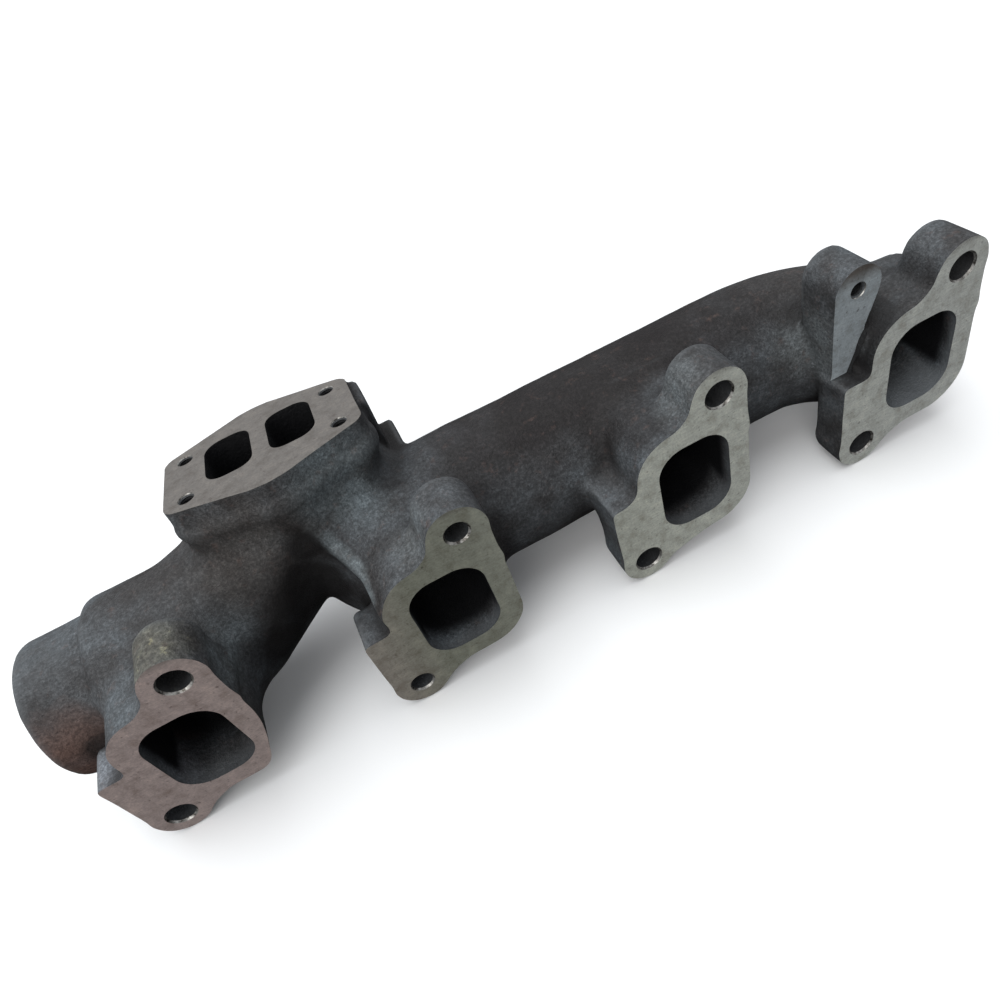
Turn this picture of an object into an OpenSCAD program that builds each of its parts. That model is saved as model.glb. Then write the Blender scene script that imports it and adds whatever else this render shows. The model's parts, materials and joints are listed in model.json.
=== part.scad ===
// Four-port exhaust manifold section for an in-line six diesel, cast iron.
// Frame: origin midway between the two locating bolt holes of cylinder port 2, on the gasket face.
// +X runs along the log, away from the slip joint; +Y points away from the cylinder head; +Z is up.
// The casting is divided at its functional boundaries; neighbours meet face to face.

/* [Port flanges] */
// Distance between neighbouring exhaust ports
pitch = 130; // [126:0.5:136]
// Width of a port opening
port_w = 38; // [34:0.5:40]
// Height of a port opening
port_h = 52; // [46:0.5:54]
// Wall between the port opening and the edge of the flange
port_wall = 11; // [9:0.5:12]
// Thickness of the flange plate round a port
flange_t = 16; // [12:0.5:18]
// Depth of the upper bolt bosses
boss_t = 24; // [22:0.5:26]
// Depth of the lower bolt lugs
lug_t = 23; // [20:0.5:23.5]
// Radius of the two close-fit bolt holes that locate the section, at port 2
locating_hole_r = 5.5; // [5.25:0.05:5.75]
// Radius of the six clearance bolt holes at ports 1, 3 and 4
clearance_hole_r = 6.75; // [6.25:0.05:7]

/* [Log] */
// Distance from the gasket face to the axis of the log
log_y = 63; // [62:0.5:66]
// Outer radius of the log beside port 2
log_r_wide = 38.5; // [38:0.1:38.8]
// Outer radius of the log where the end bend starts
log_r_slim = 36.5; // [36:0.1:37.5]
// Radius of the gas passage in the log
gas_r = 30.5; // [28:0.1:31.5]
// Centreline radius of the bend into port 4
bend_r = 60; // [56:0.5:64]

/* [Slip joint] */
// Outer radius of the slip-joint socket
socket_r = 36.5; // [36:0.1:37.5]
// Radius of the socket bore
socket_bore_r = 31.5; // [31:0.1:32]
// Length of the socket
socket_depth = 35; // [32:0.5:38]
// Distance from port 1 to the open end of the socket
socket_reach = 66; // [62:0.5:72]

/* [Turbocharger flange] */
// Hole spacing along the engine
turbo_a = 76; // [74:0.5:78]
// Hole spacing across the engine
turbo_b = 38; // [36:0.5:40]
// Radius of the tapped holes, M8 core
turbo_tap_r = 3.4; // [3.3:0.05:3.5]
// Depth of the tapped holes
turbo_tap_depth = 14; // [12:0.5:15]
// Thickness of the flange plate
turbo_t = 16; // [15.5:0.5:18]
// Backward lean of the flange face, degrees
turbo_lean = 9.5; // [8:0.5:11]
// Width of one scroll opening
scroll_w = 24.5; // [23:0.5:25]
// Length of one scroll opening
scroll_l = 38; // [35:0.5:39]

/* [Bracket boss] */
// Radius of the tapped hole in the bracket boss, M8 core
bracket_tap_r = 3.4; // [3.3:0.05:3.5]
// Distance of the bracket face behind the gasket face
bracket_back = 10; // [8:0.5:12]

/* [Hidden] */
$fn = 96;
far = 400;
// bolt holes stand this far from the middle of their pair
hole_dx = 23.85;
hole_dz = 41.55;
lug_edge = 13.5;
lug_pad_r = lug_edge + 0.3;
// port centre measured from the middle of the bolt pair
port_dx = 7.75;
port_dz = -4.35;
port_corner = 14;
ring_w = port_w + 2 * port_wall;
ring_h = port_h + 2 * port_wall;
ring_corner = 21;
// the upper boss runs flush with the right-hand edge of the flange
flush_x = port_dx + ring_w / 2 - hole_dx;
hole_pad_r = flush_x + 0.3;
ring_top = port_dz + ring_h / 2;
ring_bottom = port_dz - ring_h / 2;
ring_knee = ring_top - ring_corner;
lug_top = 2.6;
log_z = port_dz + 1;
// stations along the log
x_port1 = -pitch + port_dx;
x_port2 = port_dx;
x_port3 = pitch + port_dx;
x_port4 = 2 * pitch + port_dx;
x_socket_end = x_port1 - socket_reach;
x_socket_root = x_socket_end + socket_depth;
x_step = x_socket_root + 6;
x_front_end = x_port1 + 20;
x_web_a = x_port2 - 49;
x_web_b = x_port2 - 42;
x_left_end = x_port1 + 20;
x_right_end = x_port2 - 16;
x_right_start = x_port2 - 12;
x_cut_a = x_port2 + 36;
x_cut_b = x_port3 - 36;
x_cut_c = x_port3 + 36;
x_bend = x_port4 - bend_r;
// the runner of port 4 is this long, measured from the gasket face
bend_runner_y = 36;
// the barrel sits a little above and behind the axis of the socket
barrel_y = log_y + 0.5;
barrel_z = log_z + 2;
barrel_r = 40;
barrel_in_r = 30.5;
leg_r = 36.5;
leg_r_left = leg_r + 1;
leg_in_r = 28;
web_core_r = 22;
left_r = barrel_r - 0.2;
// lower ends of the two risers
left_foot = [x_port2 - 59, log_y + 18, log_z + 23];
right_foot = [x_port2 - 30, log_y + 19, log_z + 26];
// turbocharger flange face
turbo_c = [x_port2 - 45.5, log_y + 26, log_z + 70.2];
turbo_hx = 49;
turbo_tip = 41;
riser_top = -turbo_t;
riser_cut = -40;
scroll_dx = 15.75;
scroll_dy = 3.5;
scroll_corner = 9;
// bracket boss, measured from port 4
bracket_x = x_port4 - 33;
bracket_z = port_dz + 53.7;
bracket_r = 12.5;
bracket_rear = 34;
bracket_tap_depth = 20;
// pad on the side of the riser: a tall block standing back from a wide low one
pad_corner = [turbo_c[0] + 38, log_y + 24, log_z + 6];
pad_upper = [15.5, 22, 57];
pad_lower = [23, 28, 24];
pad_set_back = 4;

iron = [0.26, 0.27, 0.29];
face_iron = [0.55, 0.54, 0.50];

function port_x(i) = (i - 2) * pitch + port_dx;
function pair_x(i) = (i - 2) * pitch;
function hole_r(i) = i == 2 ? locating_hole_r : clearance_hole_r;

// ---- shared outlines -------------------------------------------------------------------

module round_rect(w, h, r) {
    square([w - 2 * r, h], center = true);
    square([w, h - 2 * r], center = true);
    for (sx = [-1, 1]) for (sy = [-1, 1])
        translate([sx * (w / 2 - r), sy * (h / 2 - r)]) circle(r);
}

// a flat outline in X and Z becomes a plate from depth y0 to y1 behind the gasket face
module plate(y0, y1) {
    translate([0, y1, 0]) rotate([90, 0, 0]) linear_extrude(height = y1 - y0) children();
}

module ring_outline(i) {
    translate([port_x(i), port_dz]) round_rect(ring_w, ring_h, ring_corner);
}

module port_outline(i) {
    translate([port_x(i), port_dz]) round_rect(port_w, port_h, port_corner);
}

module port_passage(i, y1) {
    plate(-1, y1) port_outline(i);
}

module upper_outline(i) {
    cx = pair_x(i) + hole_dx;
    difference() {
        union() {
            translate([cx, hole_dz]) circle(hole_pad_r);
            polygon([[cx, hole_dz + 4], [cx - 9.8, hole_dz + 9.6],
                     [cx - 13.2, ring_top + 12.6], [cx - 16.5, ring_top + 6],
                     [cx - 21.5, ring_top + 1.2], [cx - 26, ring_top - 4],
                     [cx - 4, 4], [cx + flush_x, ring_knee + 3], [cx + flush_x, hole_dz]]);
        }
        ring_outline(i);
    }
}

module lower_outline(i) {
    cx = pair_x(i) - hole_dx;
    difference() {
        union() {
            translate([cx, -hole_dz]) circle(lug_pad_r);
            polygon([[cx, -hole_dz - 4], [cx + 5.7, -hole_dz - 11.9],
                     [cx + 11.6, ring_bottom - 8], [cx + 16.6, ring_bottom - 4.5],
                     [cx + 21.6, ring_bottom - 1.5], [cx + 30, ring_bottom + 4],
                     [cx + 8, lug_top], [cx - lug_edge, lug_top], [cx - lug_edge, -hole_dz]]);
        }
        ring_outline(i);
    }
}

// ---- shared volumes --------------------------------------------------------------------

module slab_x(x0, x1) {
    translate([x0, -far / 2, -far / 2]) cube([x1 - x0, far, far]);
}

module along_x(x0, x1, r0, r1) {
    translate([x0, log_y, log_z]) rotate([0, 90, 0]) cylinder(h = x1 - x0, r1 = r0, r2 = r1);
}

module barrel_x(x0, x1, r0, r1) {
    translate([x0, barrel_y, barrel_z]) rotate([0, 90, 0]) cylinder(h = x1 - x0, r1 = r0, r2 = r1);
}

module barrel_outer() {
    barrel_x(x_socket_root, x_step, barrel_r - 4, barrel_r);
    barrel_x(x_step, x_front_end, barrel_r, barrel_r);
}

// round-ended rod from p to q
module rod(p, q, r) {
    d = q - p;
    len = norm(d);
    translate(p)
        rotate([0, acos(d[2] / len), atan2(d[1], d[0])])
            rotate_extrude()
                intersection() {
                    union() {
                        circle(r);
                        translate([-r, 0]) square([2 * r, len]);
                        translate([0, len]) circle(r);
                    }
                    translate([0, -r]) square([r, len + 2 * r]);
                }
}

module on_turbo_face() {
    translate(turbo_c) rotate([-turbo_lean, 0, 0]) children();
}

module turbo_outline(grow) {
    hx = turbo_hx + grow;
    tip = turbo_tip + grow;
    polygon([[-hx, -22], [-hx, 22], [-hx + 3, 26], [-24, tip - 7], [-8, tip - 1], [0, tip],
             [8, tip - 1], [24, tip - 7], [hx - 3, 26], [hx, 22], [hx, -22], [hx - 3, -26],
             [24, 7 - tip], [8, 1 - tip], [0, -tip], [-8, 1 - tip], [-24, 7 - tip],
             [-hx + 3, -26]]);
}

module scroll_outline(side) {
    translate([side * scroll_dx, scroll_dy]) round_rect(scroll_w, scroll_l, scroll_corner);
}

module left_outer() {
    rod([x_step + 10, barrel_y, barrel_z], [x_left_end, barrel_y, barrel_z], left_r);
    rod([x_left_end, barrel_y, barrel_z], left_foot, leg_r_left);
}

module right_outer() {
    rod([x_right_end, log_y, log_z], [x_cut_a + 20, log_y, log_z], log_r_wide);
    rod([x_right_end, log_y, log_z], right_foot, leg_r);
}

module left_passages() {
    rod([x_port1 - 30, barrel_y, barrel_z], [x_left_end, barrel_y, barrel_z], barrel_in_r);
    rod([x_left_end, barrel_y, barrel_z], left_foot, leg_in_r);
}

module right_passages() {
    rod([x_right_end, log_y, log_z], [x_cut_a + 30, log_y, log_z], gas_r);
    rod([x_right_end, log_y, log_z], right_foot, leg_in_r);
}

module scroll_passage(side) {
    on_turbo_face()
        translate([0, 0, -56]) linear_extrude(height = 60) scroll_outline(side);
}

// the block that carries the flange; everything below is shaped round it
module riser_block(top) {
    on_turbo_face()
        translate([0, 0, riser_cut]) linear_extrude(height = top - riser_cut) turbo_outline(-4);
}

// ---- log -------------------------------------------------------------------------------

module slip_socket() color(iron)
    difference() {
        union() {
            along_x(x_socket_end + 3, x_socket_root, socket_r, socket_r);
            along_x(x_socket_end, x_socket_end + 3, socket_r - 2.5, socket_r);
        }
        along_x(x_socket_end - 1, x_socket_root + 1, socket_bore_r, socket_bore_r);
    }

module front_barrel() color(iron)
    difference() {
        barrel_outer();
        barrel_x(x_socket_root - 1, x_front_end + 1, barrel_in_r, barrel_in_r);
        port_passage(1, log_y);
    }

module left_elbow() color(iron)
    difference() {
        intersection() {
            left_outer();
            slab_x(x_front_end, x_web_a);
        }
        riser_block(10);
        left_passages();
        scroll_passage(-1);
    }

// flat wall that keeps the two gas streams apart
module divider_web() color(iron)
    difference() {
        translate([x_web_a, 0, 0]) rotate([90, 0, 90]) linear_extrude(height = x_web_b - x_web_a)
            union() {
                translate([left_foot[1], left_foot[2]]) circle(leg_r - 1.5);
                translate([log_y + 4, log_z + 4]) circle(web_core_r);
                polygon([[log_y + 16, log_z - 12], [left_foot[1] + 14, left_foot[2] - 30],
                         [left_foot[1] - 18, left_foot[2] + 28], [log_y - 12, log_z + 18]]);
            }
        riser_block(10);
    }

module right_elbow() color(iron)
    difference() {
        intersection() {
            right_outer();
            slab_x(x_web_b, x_right_start);
        }
        riser_block(10);
        right_passages();
        scroll_passage(1);
        port_passage(2, log_y);
    }

module log_section(x0, x1, r0, r1) {
    difference() {
        along_x(x0, x1, r0, r1);
        along_x(x0 - 1, x1 + 1, gas_r, gas_r);
    }
}

module log_port_2() color(iron)
    difference() {
        along_x(x_right_start, x_cut_a, log_r_wide, log_r_wide);
        along_x(x_right_start - 1, x_cut_a + 1, gas_r, gas_r);
        port_passage(2, log_y);
        riser_block(10);
    }

module log_mid_2_3() color(iron)
    log_section(x_cut_a, x_cut_b, log_r_wide, log_r_wide - 0.6);

module log_port_3() color(iron)
    difference() {
        log_section(x_cut_b, x_cut_c, log_r_wide - 0.6, log_r_slim + 0.5);
        port_passage(3, log_y);
    }

module log_mid_3_4() color(iron)
    log_section(x_cut_c, x_bend, log_r_slim + 0.5, log_r_slim);

module bend_solid(r) {
    translate([x_bend, log_y - bend_r, log_z])
        rotate_extrude(angle = 90) translate([bend_r, 0]) circle(r);
}

// left of the runner the bend comes forward to the lug; the gas way stays behind the runner
module end_bend() color(iron)
    difference() {
        bend_solid(log_r_slim - 0.5);
        intersection() {
            bend_solid(gas_r - 1.5);
            translate([x_bend - 1, bend_runner_y, -far / 2]) cube([far, far, far]);
        }
        translate([x_port4 - ring_w / 2, bend_runner_y - far, -far / 2]) cube([far, far, far]);
        translate([x_bend - 1, lug_t - far, -far / 2]) cube([far, far, far]);
        port_passage(4, bend_runner_y + 8);
    }

// ---- runners ---------------------------------------------------------------------------

module runner(i, y1) {
    difference() {
        plate(flange_t, y1) ring_outline(i);
        port_passage(i, y1 + 1);
        children();
    }
}

module runner_1() color(iron)
    runner(1, log_y - 18) {
        barrel_outer();
        left_outer();
    }

module runner_2() color(iron)
    runner(2, log_y - 18)
        right_outer();

module runner_3() color(iron)
    runner(3, log_y - 18)
        along_x(x_cut_b, x_cut_c, log_r_wide - 0.6, log_r_slim + 0.5);

module runner_4() color(iron)
    runner(4, bend_runner_y);

// ---- port flanges, bolt bosses and lugs ------------------------------------------------

module port_flange(i) {
    plate(0, flange_t)
        difference() {
            ring_outline(i);
            port_outline(i);
        }
}

module port_flange_1() color(face_iron) port_flange(1);
module port_flange_2() color(face_iron) port_flange(2);
module port_flange_3() color(face_iron) port_flange(3);
module port_flange_4() color(face_iron) port_flange(4);

module bolt_hole(x, z, r) {
    translate([x, -1, z]) rotate([-90, 0, 0]) cylinder(h = 40, r = r);
}

module upper_boss(i) {
    difference() {
        plate(0, boss_t) upper_outline(i);
        bolt_hole(pair_x(i) + hole_dx, hole_dz, hole_r(i));
    }
}

module upper_boss_1() color(iron) upper_boss(1);
module upper_boss_2() color(iron) upper_boss(2);
module upper_boss_3() color(iron) upper_boss(3);
module upper_boss_4() color(iron) upper_boss(4);

module lower_lug(i) {
    difference() {
        plate(0, lug_t) lower_outline(i);
        bolt_hole(pair_x(i) - hole_dx, -hole_dz, hole_r(i));
    }
}

module lower_lug_1() color(iron) lower_lug(1);
module lower_lug_2() color(iron) lower_lug(2);
module lower_lug_3() color(iron) lower_lug(3);
module lower_lug_4() color(iron) lower_lug(4);

// ---- turbocharger mounting -------------------------------------------------------------

module turbo_riser() color(iron)
    difference() {
        riser_block(riser_top);
        scroll_passage(-1);
        scroll_passage(1);
    }

module turbo_flange() color(face_iron)
    difference() {
        on_turbo_face() translate([0, 0, -turbo_t])
            linear_extrude(height = turbo_t) turbo_outline(0);
        scroll_passage(-1);
        scroll_passage(1);
        on_turbo_face()
            for (sx = [-1, 1]) for (sy = [-1, 1])
                translate([sx * turbo_a / 2, sy * turbo_b / 2, -turbo_tap_depth])
                    cylinder(h = turbo_tap_depth + 1, r = turbo_tap_r);
    }

// ---- small features --------------------------------------------------------------------

module bracket_boss() color(iron)
    difference() {
        plate(bracket_back, bracket_rear)
            union() {
                translate([bracket_x, bracket_z]) circle(bracket_r);
                polygon([[bracket_x - bracket_r, bracket_z], [bracket_x - bracket_r + 1.5, lug_top],
                         [bracket_x + 4, lug_top], [bracket_x + bracket_r - 0.5, bracket_z]]);
            }
        translate([bracket_x, bracket_back - 1, bracket_z]) rotate([-90, 0, 0])
            cylinder(h = bracket_tap_depth + 1, r = bracket_tap_r);
        plate(0, far) ring_outline(4);
        bend_solid(log_r_slim - 0.5);
        along_x(x_cut_c, x_bend, log_r_slim + 0.5, log_r_slim);
    }

module side_pad() color(iron)
    difference() {
        union() {
            translate(pad_corner + [0, pad_set_back, 0]) cube(pad_upper);
            translate(pad_corner) cube(pad_lower);
        }
        right_outer();
        riser_block(10);
        on_turbo_face() translate([0, 0, -turbo_t])
            linear_extrude(height = turbo_t + 20) turbo_outline(0);
    }

slip_socket();
front_barrel();
left_elbow();
divider_web();
right_elbow();
log_port_2();
log_mid_2_3();
log_port_3();
log_mid_3_4();
end_bend();
runner_1();
runner_2();
runner_3();
runner_4();
port_flange_1();
port_flange_2();
port_flange_3();
port_flange_4();
upper_boss_1();
upper_boss_2();
upper_boss_3();
upper_boss_4();
lower_lug_1();
lower_lug_2();
lower_lug_3();
lower_lug_4();
turbo_riser();
turbo_flange();
bracket_boss();
side_pad();
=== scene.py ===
"""Looks of a four-port cast-iron exhaust manifold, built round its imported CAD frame.

The casting is one distance field: the log, legs, runners, bosses, lugs and flange plate are joined
with the fillets that a casting has, and the gas passages are cored out of it. The field becomes one
mesh, the machined faces and drilled holes are cut crisp, and the mesh is divided at the CAD nodes'
boundaries, so that each node has its own visual piece.
"""

import json
import math

import bpy
import numpy as np
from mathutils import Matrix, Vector


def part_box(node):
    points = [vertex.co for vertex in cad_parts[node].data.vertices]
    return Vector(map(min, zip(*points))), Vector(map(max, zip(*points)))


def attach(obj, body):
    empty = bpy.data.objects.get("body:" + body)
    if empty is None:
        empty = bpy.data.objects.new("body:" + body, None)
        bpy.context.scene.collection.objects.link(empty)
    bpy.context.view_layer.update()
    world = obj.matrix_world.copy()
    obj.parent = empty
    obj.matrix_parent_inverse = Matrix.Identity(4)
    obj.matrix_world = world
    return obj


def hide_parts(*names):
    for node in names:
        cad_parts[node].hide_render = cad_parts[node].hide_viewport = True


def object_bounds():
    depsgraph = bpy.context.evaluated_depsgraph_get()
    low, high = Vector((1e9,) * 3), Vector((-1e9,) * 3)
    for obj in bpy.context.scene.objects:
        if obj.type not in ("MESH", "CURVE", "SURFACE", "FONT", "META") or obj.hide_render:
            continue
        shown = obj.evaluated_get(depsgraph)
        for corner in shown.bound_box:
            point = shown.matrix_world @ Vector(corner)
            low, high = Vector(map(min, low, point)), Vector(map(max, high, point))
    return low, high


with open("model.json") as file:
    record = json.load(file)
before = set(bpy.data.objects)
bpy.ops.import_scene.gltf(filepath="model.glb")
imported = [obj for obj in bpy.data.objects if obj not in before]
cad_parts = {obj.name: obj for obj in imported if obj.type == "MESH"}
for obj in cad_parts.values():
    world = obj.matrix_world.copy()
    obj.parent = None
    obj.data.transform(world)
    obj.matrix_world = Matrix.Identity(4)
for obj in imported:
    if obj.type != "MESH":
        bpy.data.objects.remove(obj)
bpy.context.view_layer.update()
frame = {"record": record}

MM = 0.001
PORTS = (1, 2, 3, 4)

# ---- places and sizes, in millimetres ----

mounts = {m["name"]: m for m in frame["record"]["mounts"]}


def mount_mm(name):
    return np.array(mounts[name]["pos_m"]) / MM


def box_mm(node):
    low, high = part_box(node)
    return np.array(low) / MM, np.array(high) / MM


def middle(node):
    low, high = box_mm(node)
    return (low + high) / 2


def size(node):
    low, high = box_mm(node)
    return high - low


def x_range(node):
    low, high = box_mm(node)
    return low[0], high[0]


PAIR_X = {i: mount_mm(f"port_{i}_bolts")[0] for i in PORTS}
PORT = {i: middle(f"port_flange_{i}") for i in PORTS}
PORT_Z = PORT[1][2]
RING_W, FLANGE_T, RING_H = size("port_flange_2")
HOLE_DX, HOLE_DZ = 23.85, 41.55
HOLE_R = {i: mounts[f"port_{i}_bolts"]["dims"]["hole_r_mm"] for i in PORTS}
PORT_W, PORT_H, PORT_CORNER = 38.0, 52.0, 14.0
RING_CORNER = 21.0
PORT_1_FLAT = (0.935, -0.355, 29.0)
RING_TOP = PORT_Z + RING_H / 2
RING_BOTTOM = PORT_Z - RING_H / 2
BOSS_DEPTH = {1: 25.0, 2: 24.0, 3: 24.0, 4: 24.0}
LUG_DEPTH = {1: 23.5, 2: 24.0, 3: 22.0, 4: 20.5}
RUNNER_FILLET = {1: 11, 2: 11, 3: 7, 4: 11}
LUG_FILLET = {1: 4, 2: 4, 3: 12, 4: 4}
LUG_TOP = box_mm("lower_lug_2")[1][2]

SOCKET_X0, SOCKET_X1 = x_range("slip_socket")
SOCKET_R = size("slip_socket")[2] / 2
SOCKET_BORE_R = mounts["slip_bore"]["dims"]["r_mm"]
LOG_Y, LOG_Z = middle("log_mid_2_3")[1:]
LOG_R_WIDE = size("log_mid_2_3")[2] / 2
LOG_R_SLIM = LOG_R_WIDE - 2.0
GAS_R = LOG_R_WIDE - 8.0
BARREL_X1 = x_range("front_barrel")[1]
BARREL_R = size("front_barrel")[2] / 2
BARREL_Y, BARREL_Z = middle("front_barrel")[1:]
WEB_X0, WEB_X1 = x_range("divider_web")
RIGHT_X1 = x_range("log_port_2")[0]
CUT_A, CUT_B = x_range("log_mid_2_3")
CUT_C, BEND_X = x_range("log_mid_3_4")
BEND_R = PORT[4][0] - BEND_X
LEFT_END = np.array([BARREL_X1, LOG_Y, LOG_Z])
RIGHT_END = np.array([RIGHT_X1 - 4, LOG_Y, LOG_Z])

TURBO = mount_mm("turbo_face")
TURBO_N = np.array(mounts["turbo_face"]["axis"], float)
TURBO_U = np.array([1.0, 0.0, 0.0])
TURBO_V = np.cross(TURBO_N, TURBO_U)
TURBO_T = 16.0
TURBO_HX = 49.0
TURBO_TIP = 41.0
SCROLL_U, SCROLL_V = 15.75, 3.5
SCROLL_W, SCROLL_L, SCROLL_CORNER = 24.5, 38.0, 9.0
LEFT_FOOT = TURBO + np.array([-13.5, -8.0, -47.2])
RIGHT_FOOT = TURBO + np.array([15.5, -7.0, -44.2])
LEG_GAS_R = (28.5, 27.5)
STUDS = (1, 2, 3, 4)
BACK = np.array([0, 1.0, 0])
THREAD_PITCH = 1.25

BRACKET = mount_mm("bracket_tap")
BRACKET_FACE = box_mm("bracket_boss")[0][1]
BRACKET_REAR = box_mm("bracket_boss")[1][1]
BRACKET_R = 12.5
BRACKET_SIDES = [(BRACKET[0] - BRACKET_R, BRACKET[2]),
                 (BRACKET[0] - BRACKET_R + 1.0, LUG_TOP - 4),
                 (BRACKET[0] - BRACKET_R + 7.5, LUG_TOP - 4),
                 (BRACKET[0] + BRACKET_R - 0.6, BRACKET[2] - 5)]
PAD_LOW, PAD_HIGH = box_mm("side_pad")

# The crest and the hollow beside it, where runner 2 leaves the stalk.
RIDGE = np.array([(-35.0, 51.5, 42.3), (-28.6, 43.0, 27.6), (-25.0, 36.0, 21.6),
                  (-20.8, 24.0, 18.6), (-19.8, 4.0, 13.0)])
RIDGE_R = 3.4
CROTCH = np.array([(-41.0, 35.0, 38.0), (-50.0, 31.0, -14.0)])
CROTCH_R = (11.0, 14.0)

# The field's box: the casting and an uneven margin, so that no layer of points lies on a face.
FIELD_LOW = np.array([SOCKET_X0 - 6.2, -8.3, -HOLE_DZ - 20.4])
FIELD_HIGH = np.array([PORT[4][0] + 40.3, TURBO[1] + TURBO_TIP + 9.1, TURBO[2] + 19.6])
STEP = 1.25

# ---- distances ----


def union(a, b, k=0.0):
    """Joins two distances, with a fillet about k wide."""
    near = np.minimum(a, b)
    if k <= 0:
        return near
    h = np.clip(1 - np.abs(a - b) / k, 0, None)
    return near - h * h * (k / 4)


def common(a, b, k=0.0):
    """The overlap of two distances, with its edge rounded about k wide."""
    return -union(-a, -b, k)


def circle(x, z, cx, cz, r):
    return np.hypot(x - cx, z - cz) - r


def round_rect(x, z, w, h, r):
    qx = np.abs(x) - (w / 2 - r)
    qz = np.abs(z) - (h / 2 - r)
    return np.hypot(np.maximum(qx, 0), np.maximum(qz, 0)) + np.minimum(np.maximum(qx, qz), 0) - r


def inset(points, r):
    """Moves each side of a counter-clockwise outline inwards by r."""
    p = np.array(points, float)
    side = np.roll(p, -1, 0) - p
    normal = np.stack([side[:, 1], -side[:, 0]], 1) / np.linalg.norm(side, axis=1)[:, None]
    before = np.roll(normal, 1, 0)
    return p - r * (before + normal) / (1 + (before * normal).sum(1))[:, None]


def polygon(x, z, points, r=0.0):
    """Distance to a counter-clockwise outline whose outer corners are rounded with radius r."""
    p = inset(points, r) if r else np.array(points, float)
    best = np.full(np.broadcast(x, z).shape, 1e9)
    sign = np.ones(best.shape)
    for (ax, az), (bx, bz) in zip(p, np.roll(p, 1, 0)):
        ex, ez = bx - ax, bz - az
        wx, wz = x - ax, z - az
        t = np.clip((wx * ex + wz * ez) / (ex * ex + ez * ez), 0, 1)
        best = np.minimum(best, (wx - ex * t) ** 2 + (wz - ez * t) ** 2)
        above, below, left = z >= az, z < bz, ex * wz > ez * wx
        flip = (above & below & left) | ~(above | below | left)
        sign = np.where(flip, -sign, sign)
    return sign * np.sqrt(best) - r


def extrude(flat, t, t0, t1, r=0.0):
    """A flat distance carried from t0 to t1, with its end edges rounded by r."""
    a = flat + r
    b = np.maximum(t0 - t, t - t1) + r
    return np.hypot(np.maximum(a, 0), np.maximum(b, 0)) + np.minimum(np.maximum(a, b), 0) - r


def rod(x, y, z, p, q, r0, r1):
    """Distance to a round bar from p to q, whose radius goes from r0 to r1."""
    d = q - p
    length = np.linalg.norm(d)
    t = ((x - p[0]) * d[0] + (y - p[1]) * d[1] + (z - p[2]) * d[2]) / length**2
    t = np.clip(t, 0, 1)
    away = (x - p[0] - t * d[0]) ** 2 + (y - p[1] - t * d[1]) ** 2 + (z - p[2] - t * d[2]) ** 2
    return np.sqrt(away) - (r0 + (r1 - r0) * t)


def smoothstep(x, a, b):
    t = np.clip((x - a) / (b - a), 0, 1)
    return t * t * (3 - 2 * t)


def turbo_uvw(x, y, z):
    """Coordinates along, across and above the turbocharger face."""
    u = x - TURBO[0]
    v = (y - TURBO[1]) * TURBO_V[1] + (z - TURBO[2]) * TURBO_V[2]
    w = (y - TURBO[1]) * TURBO_N[1] + (z - TURBO[2]) * TURBO_N[2]
    return u, v, w


CUBE = np.array([(i, j, k) for i in (0, 1) for j in (0, 1) for k in (0, 1)])


class Field:
    """Distance to the iron on a regular grid of points: negative inside."""

    def __init__(self, low, high, step):
        self.step = step
        self.low = np.array(low, float)
        count = np.ceil((np.array(high) - low) / step).astype(int) + 1
        self.axes = [low[a] + step * np.arange(count[a]) for a in range(3)]
        self.d = np.full(count, 60.0, np.float32)

    def window(self, low, high):
        """The part of the grid between two corners, and the coordinates of its points."""
        span = []
        for a in range(3):
            i0 = int((low[a] - self.low[a]) / self.step)
            i1 = int((high[a] - self.low[a]) / self.step) + 2
            span.append(slice(max(i0, 0), max(i1, 1)))
        x, y, z = (self.axes[a][span[a]] for a in range(3))
        return tuple(span), x[:, None, None], y[None, :, None], z[None, None, :]

    def add(self, shape, low, high, k=0.0):
        span, x, y, z = self.window(low, high)
        self.d[span] = union(self.d[span], shape(x, y, z), k)

    def cut(self, shape, low, high, k=0.0):
        span, x, y, z = self.window(low, high)
        self.d[span] = common(self.d[span], -shape(x, y, z), k)

    def smooth(self):
        for a in range(3):
            d = np.moveaxis(self.d, a, 0)
            d[1:-1] = (d[:-2] + 2 * d[1:-1] + d[2:]) / 4

    def at(self, points):
        """The distance at any points, read between the points of the grid."""
        g = (points - self.low) / self.step
        i = np.clip(np.floor(g).astype(int), 0, np.array(self.d.shape) - 2)
        f = g - i
        value = 0
        for corner in CUBE:
            weight = np.where(corner, f, 1 - f).prod(1)
            value = value + weight * self.d[tuple((i + corner).T)]
        return value

    def normals(self, points):
        n = np.empty(points.shape)
        for a, shift in enumerate(np.eye(3) * self.step):
            n[:, a] = self.at(points + shift) - self.at(points - shift)
        return n / np.maximum(np.linalg.norm(n, axis=1), 1e-9)[:, None]


# ---- the casting ----


def log_distance(x, y, z, r):
    """A round bar along the log's axis, from the right leg to the bend."""
    over = np.maximum(RIGHT_END[0] - x, 0) + np.maximum(x - BEND_X, 0)
    return np.sqrt((y - LOG_Y) ** 2 + (z - LOG_Z) ** 2 + over**2) - r


def log_shape(x, y, z):
    return log_distance(x, y, z, np.interp(x, [CUT_A, BEND_X], [LOG_R_WIDE, LOG_R_SLIM]))


def bend_distance(x, y, z, r0, r1):
    """A quarter turn from the log into port 4; its radius goes from r0 to r1."""
    bx = np.maximum(x - BEND_X, 0)
    by = y - (LOG_Y - BEND_R)
    turn = np.degrees(np.arctan2(bx, np.maximum(by, 0.01)))
    r = r0 + (r1 - r0) * smoothstep(turn, 35, 85)
    ring = np.hypot(np.hypot(bx, by) - BEND_R, z - LOG_Z) - r
    return np.where(by > 0, ring, 50.0)


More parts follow.
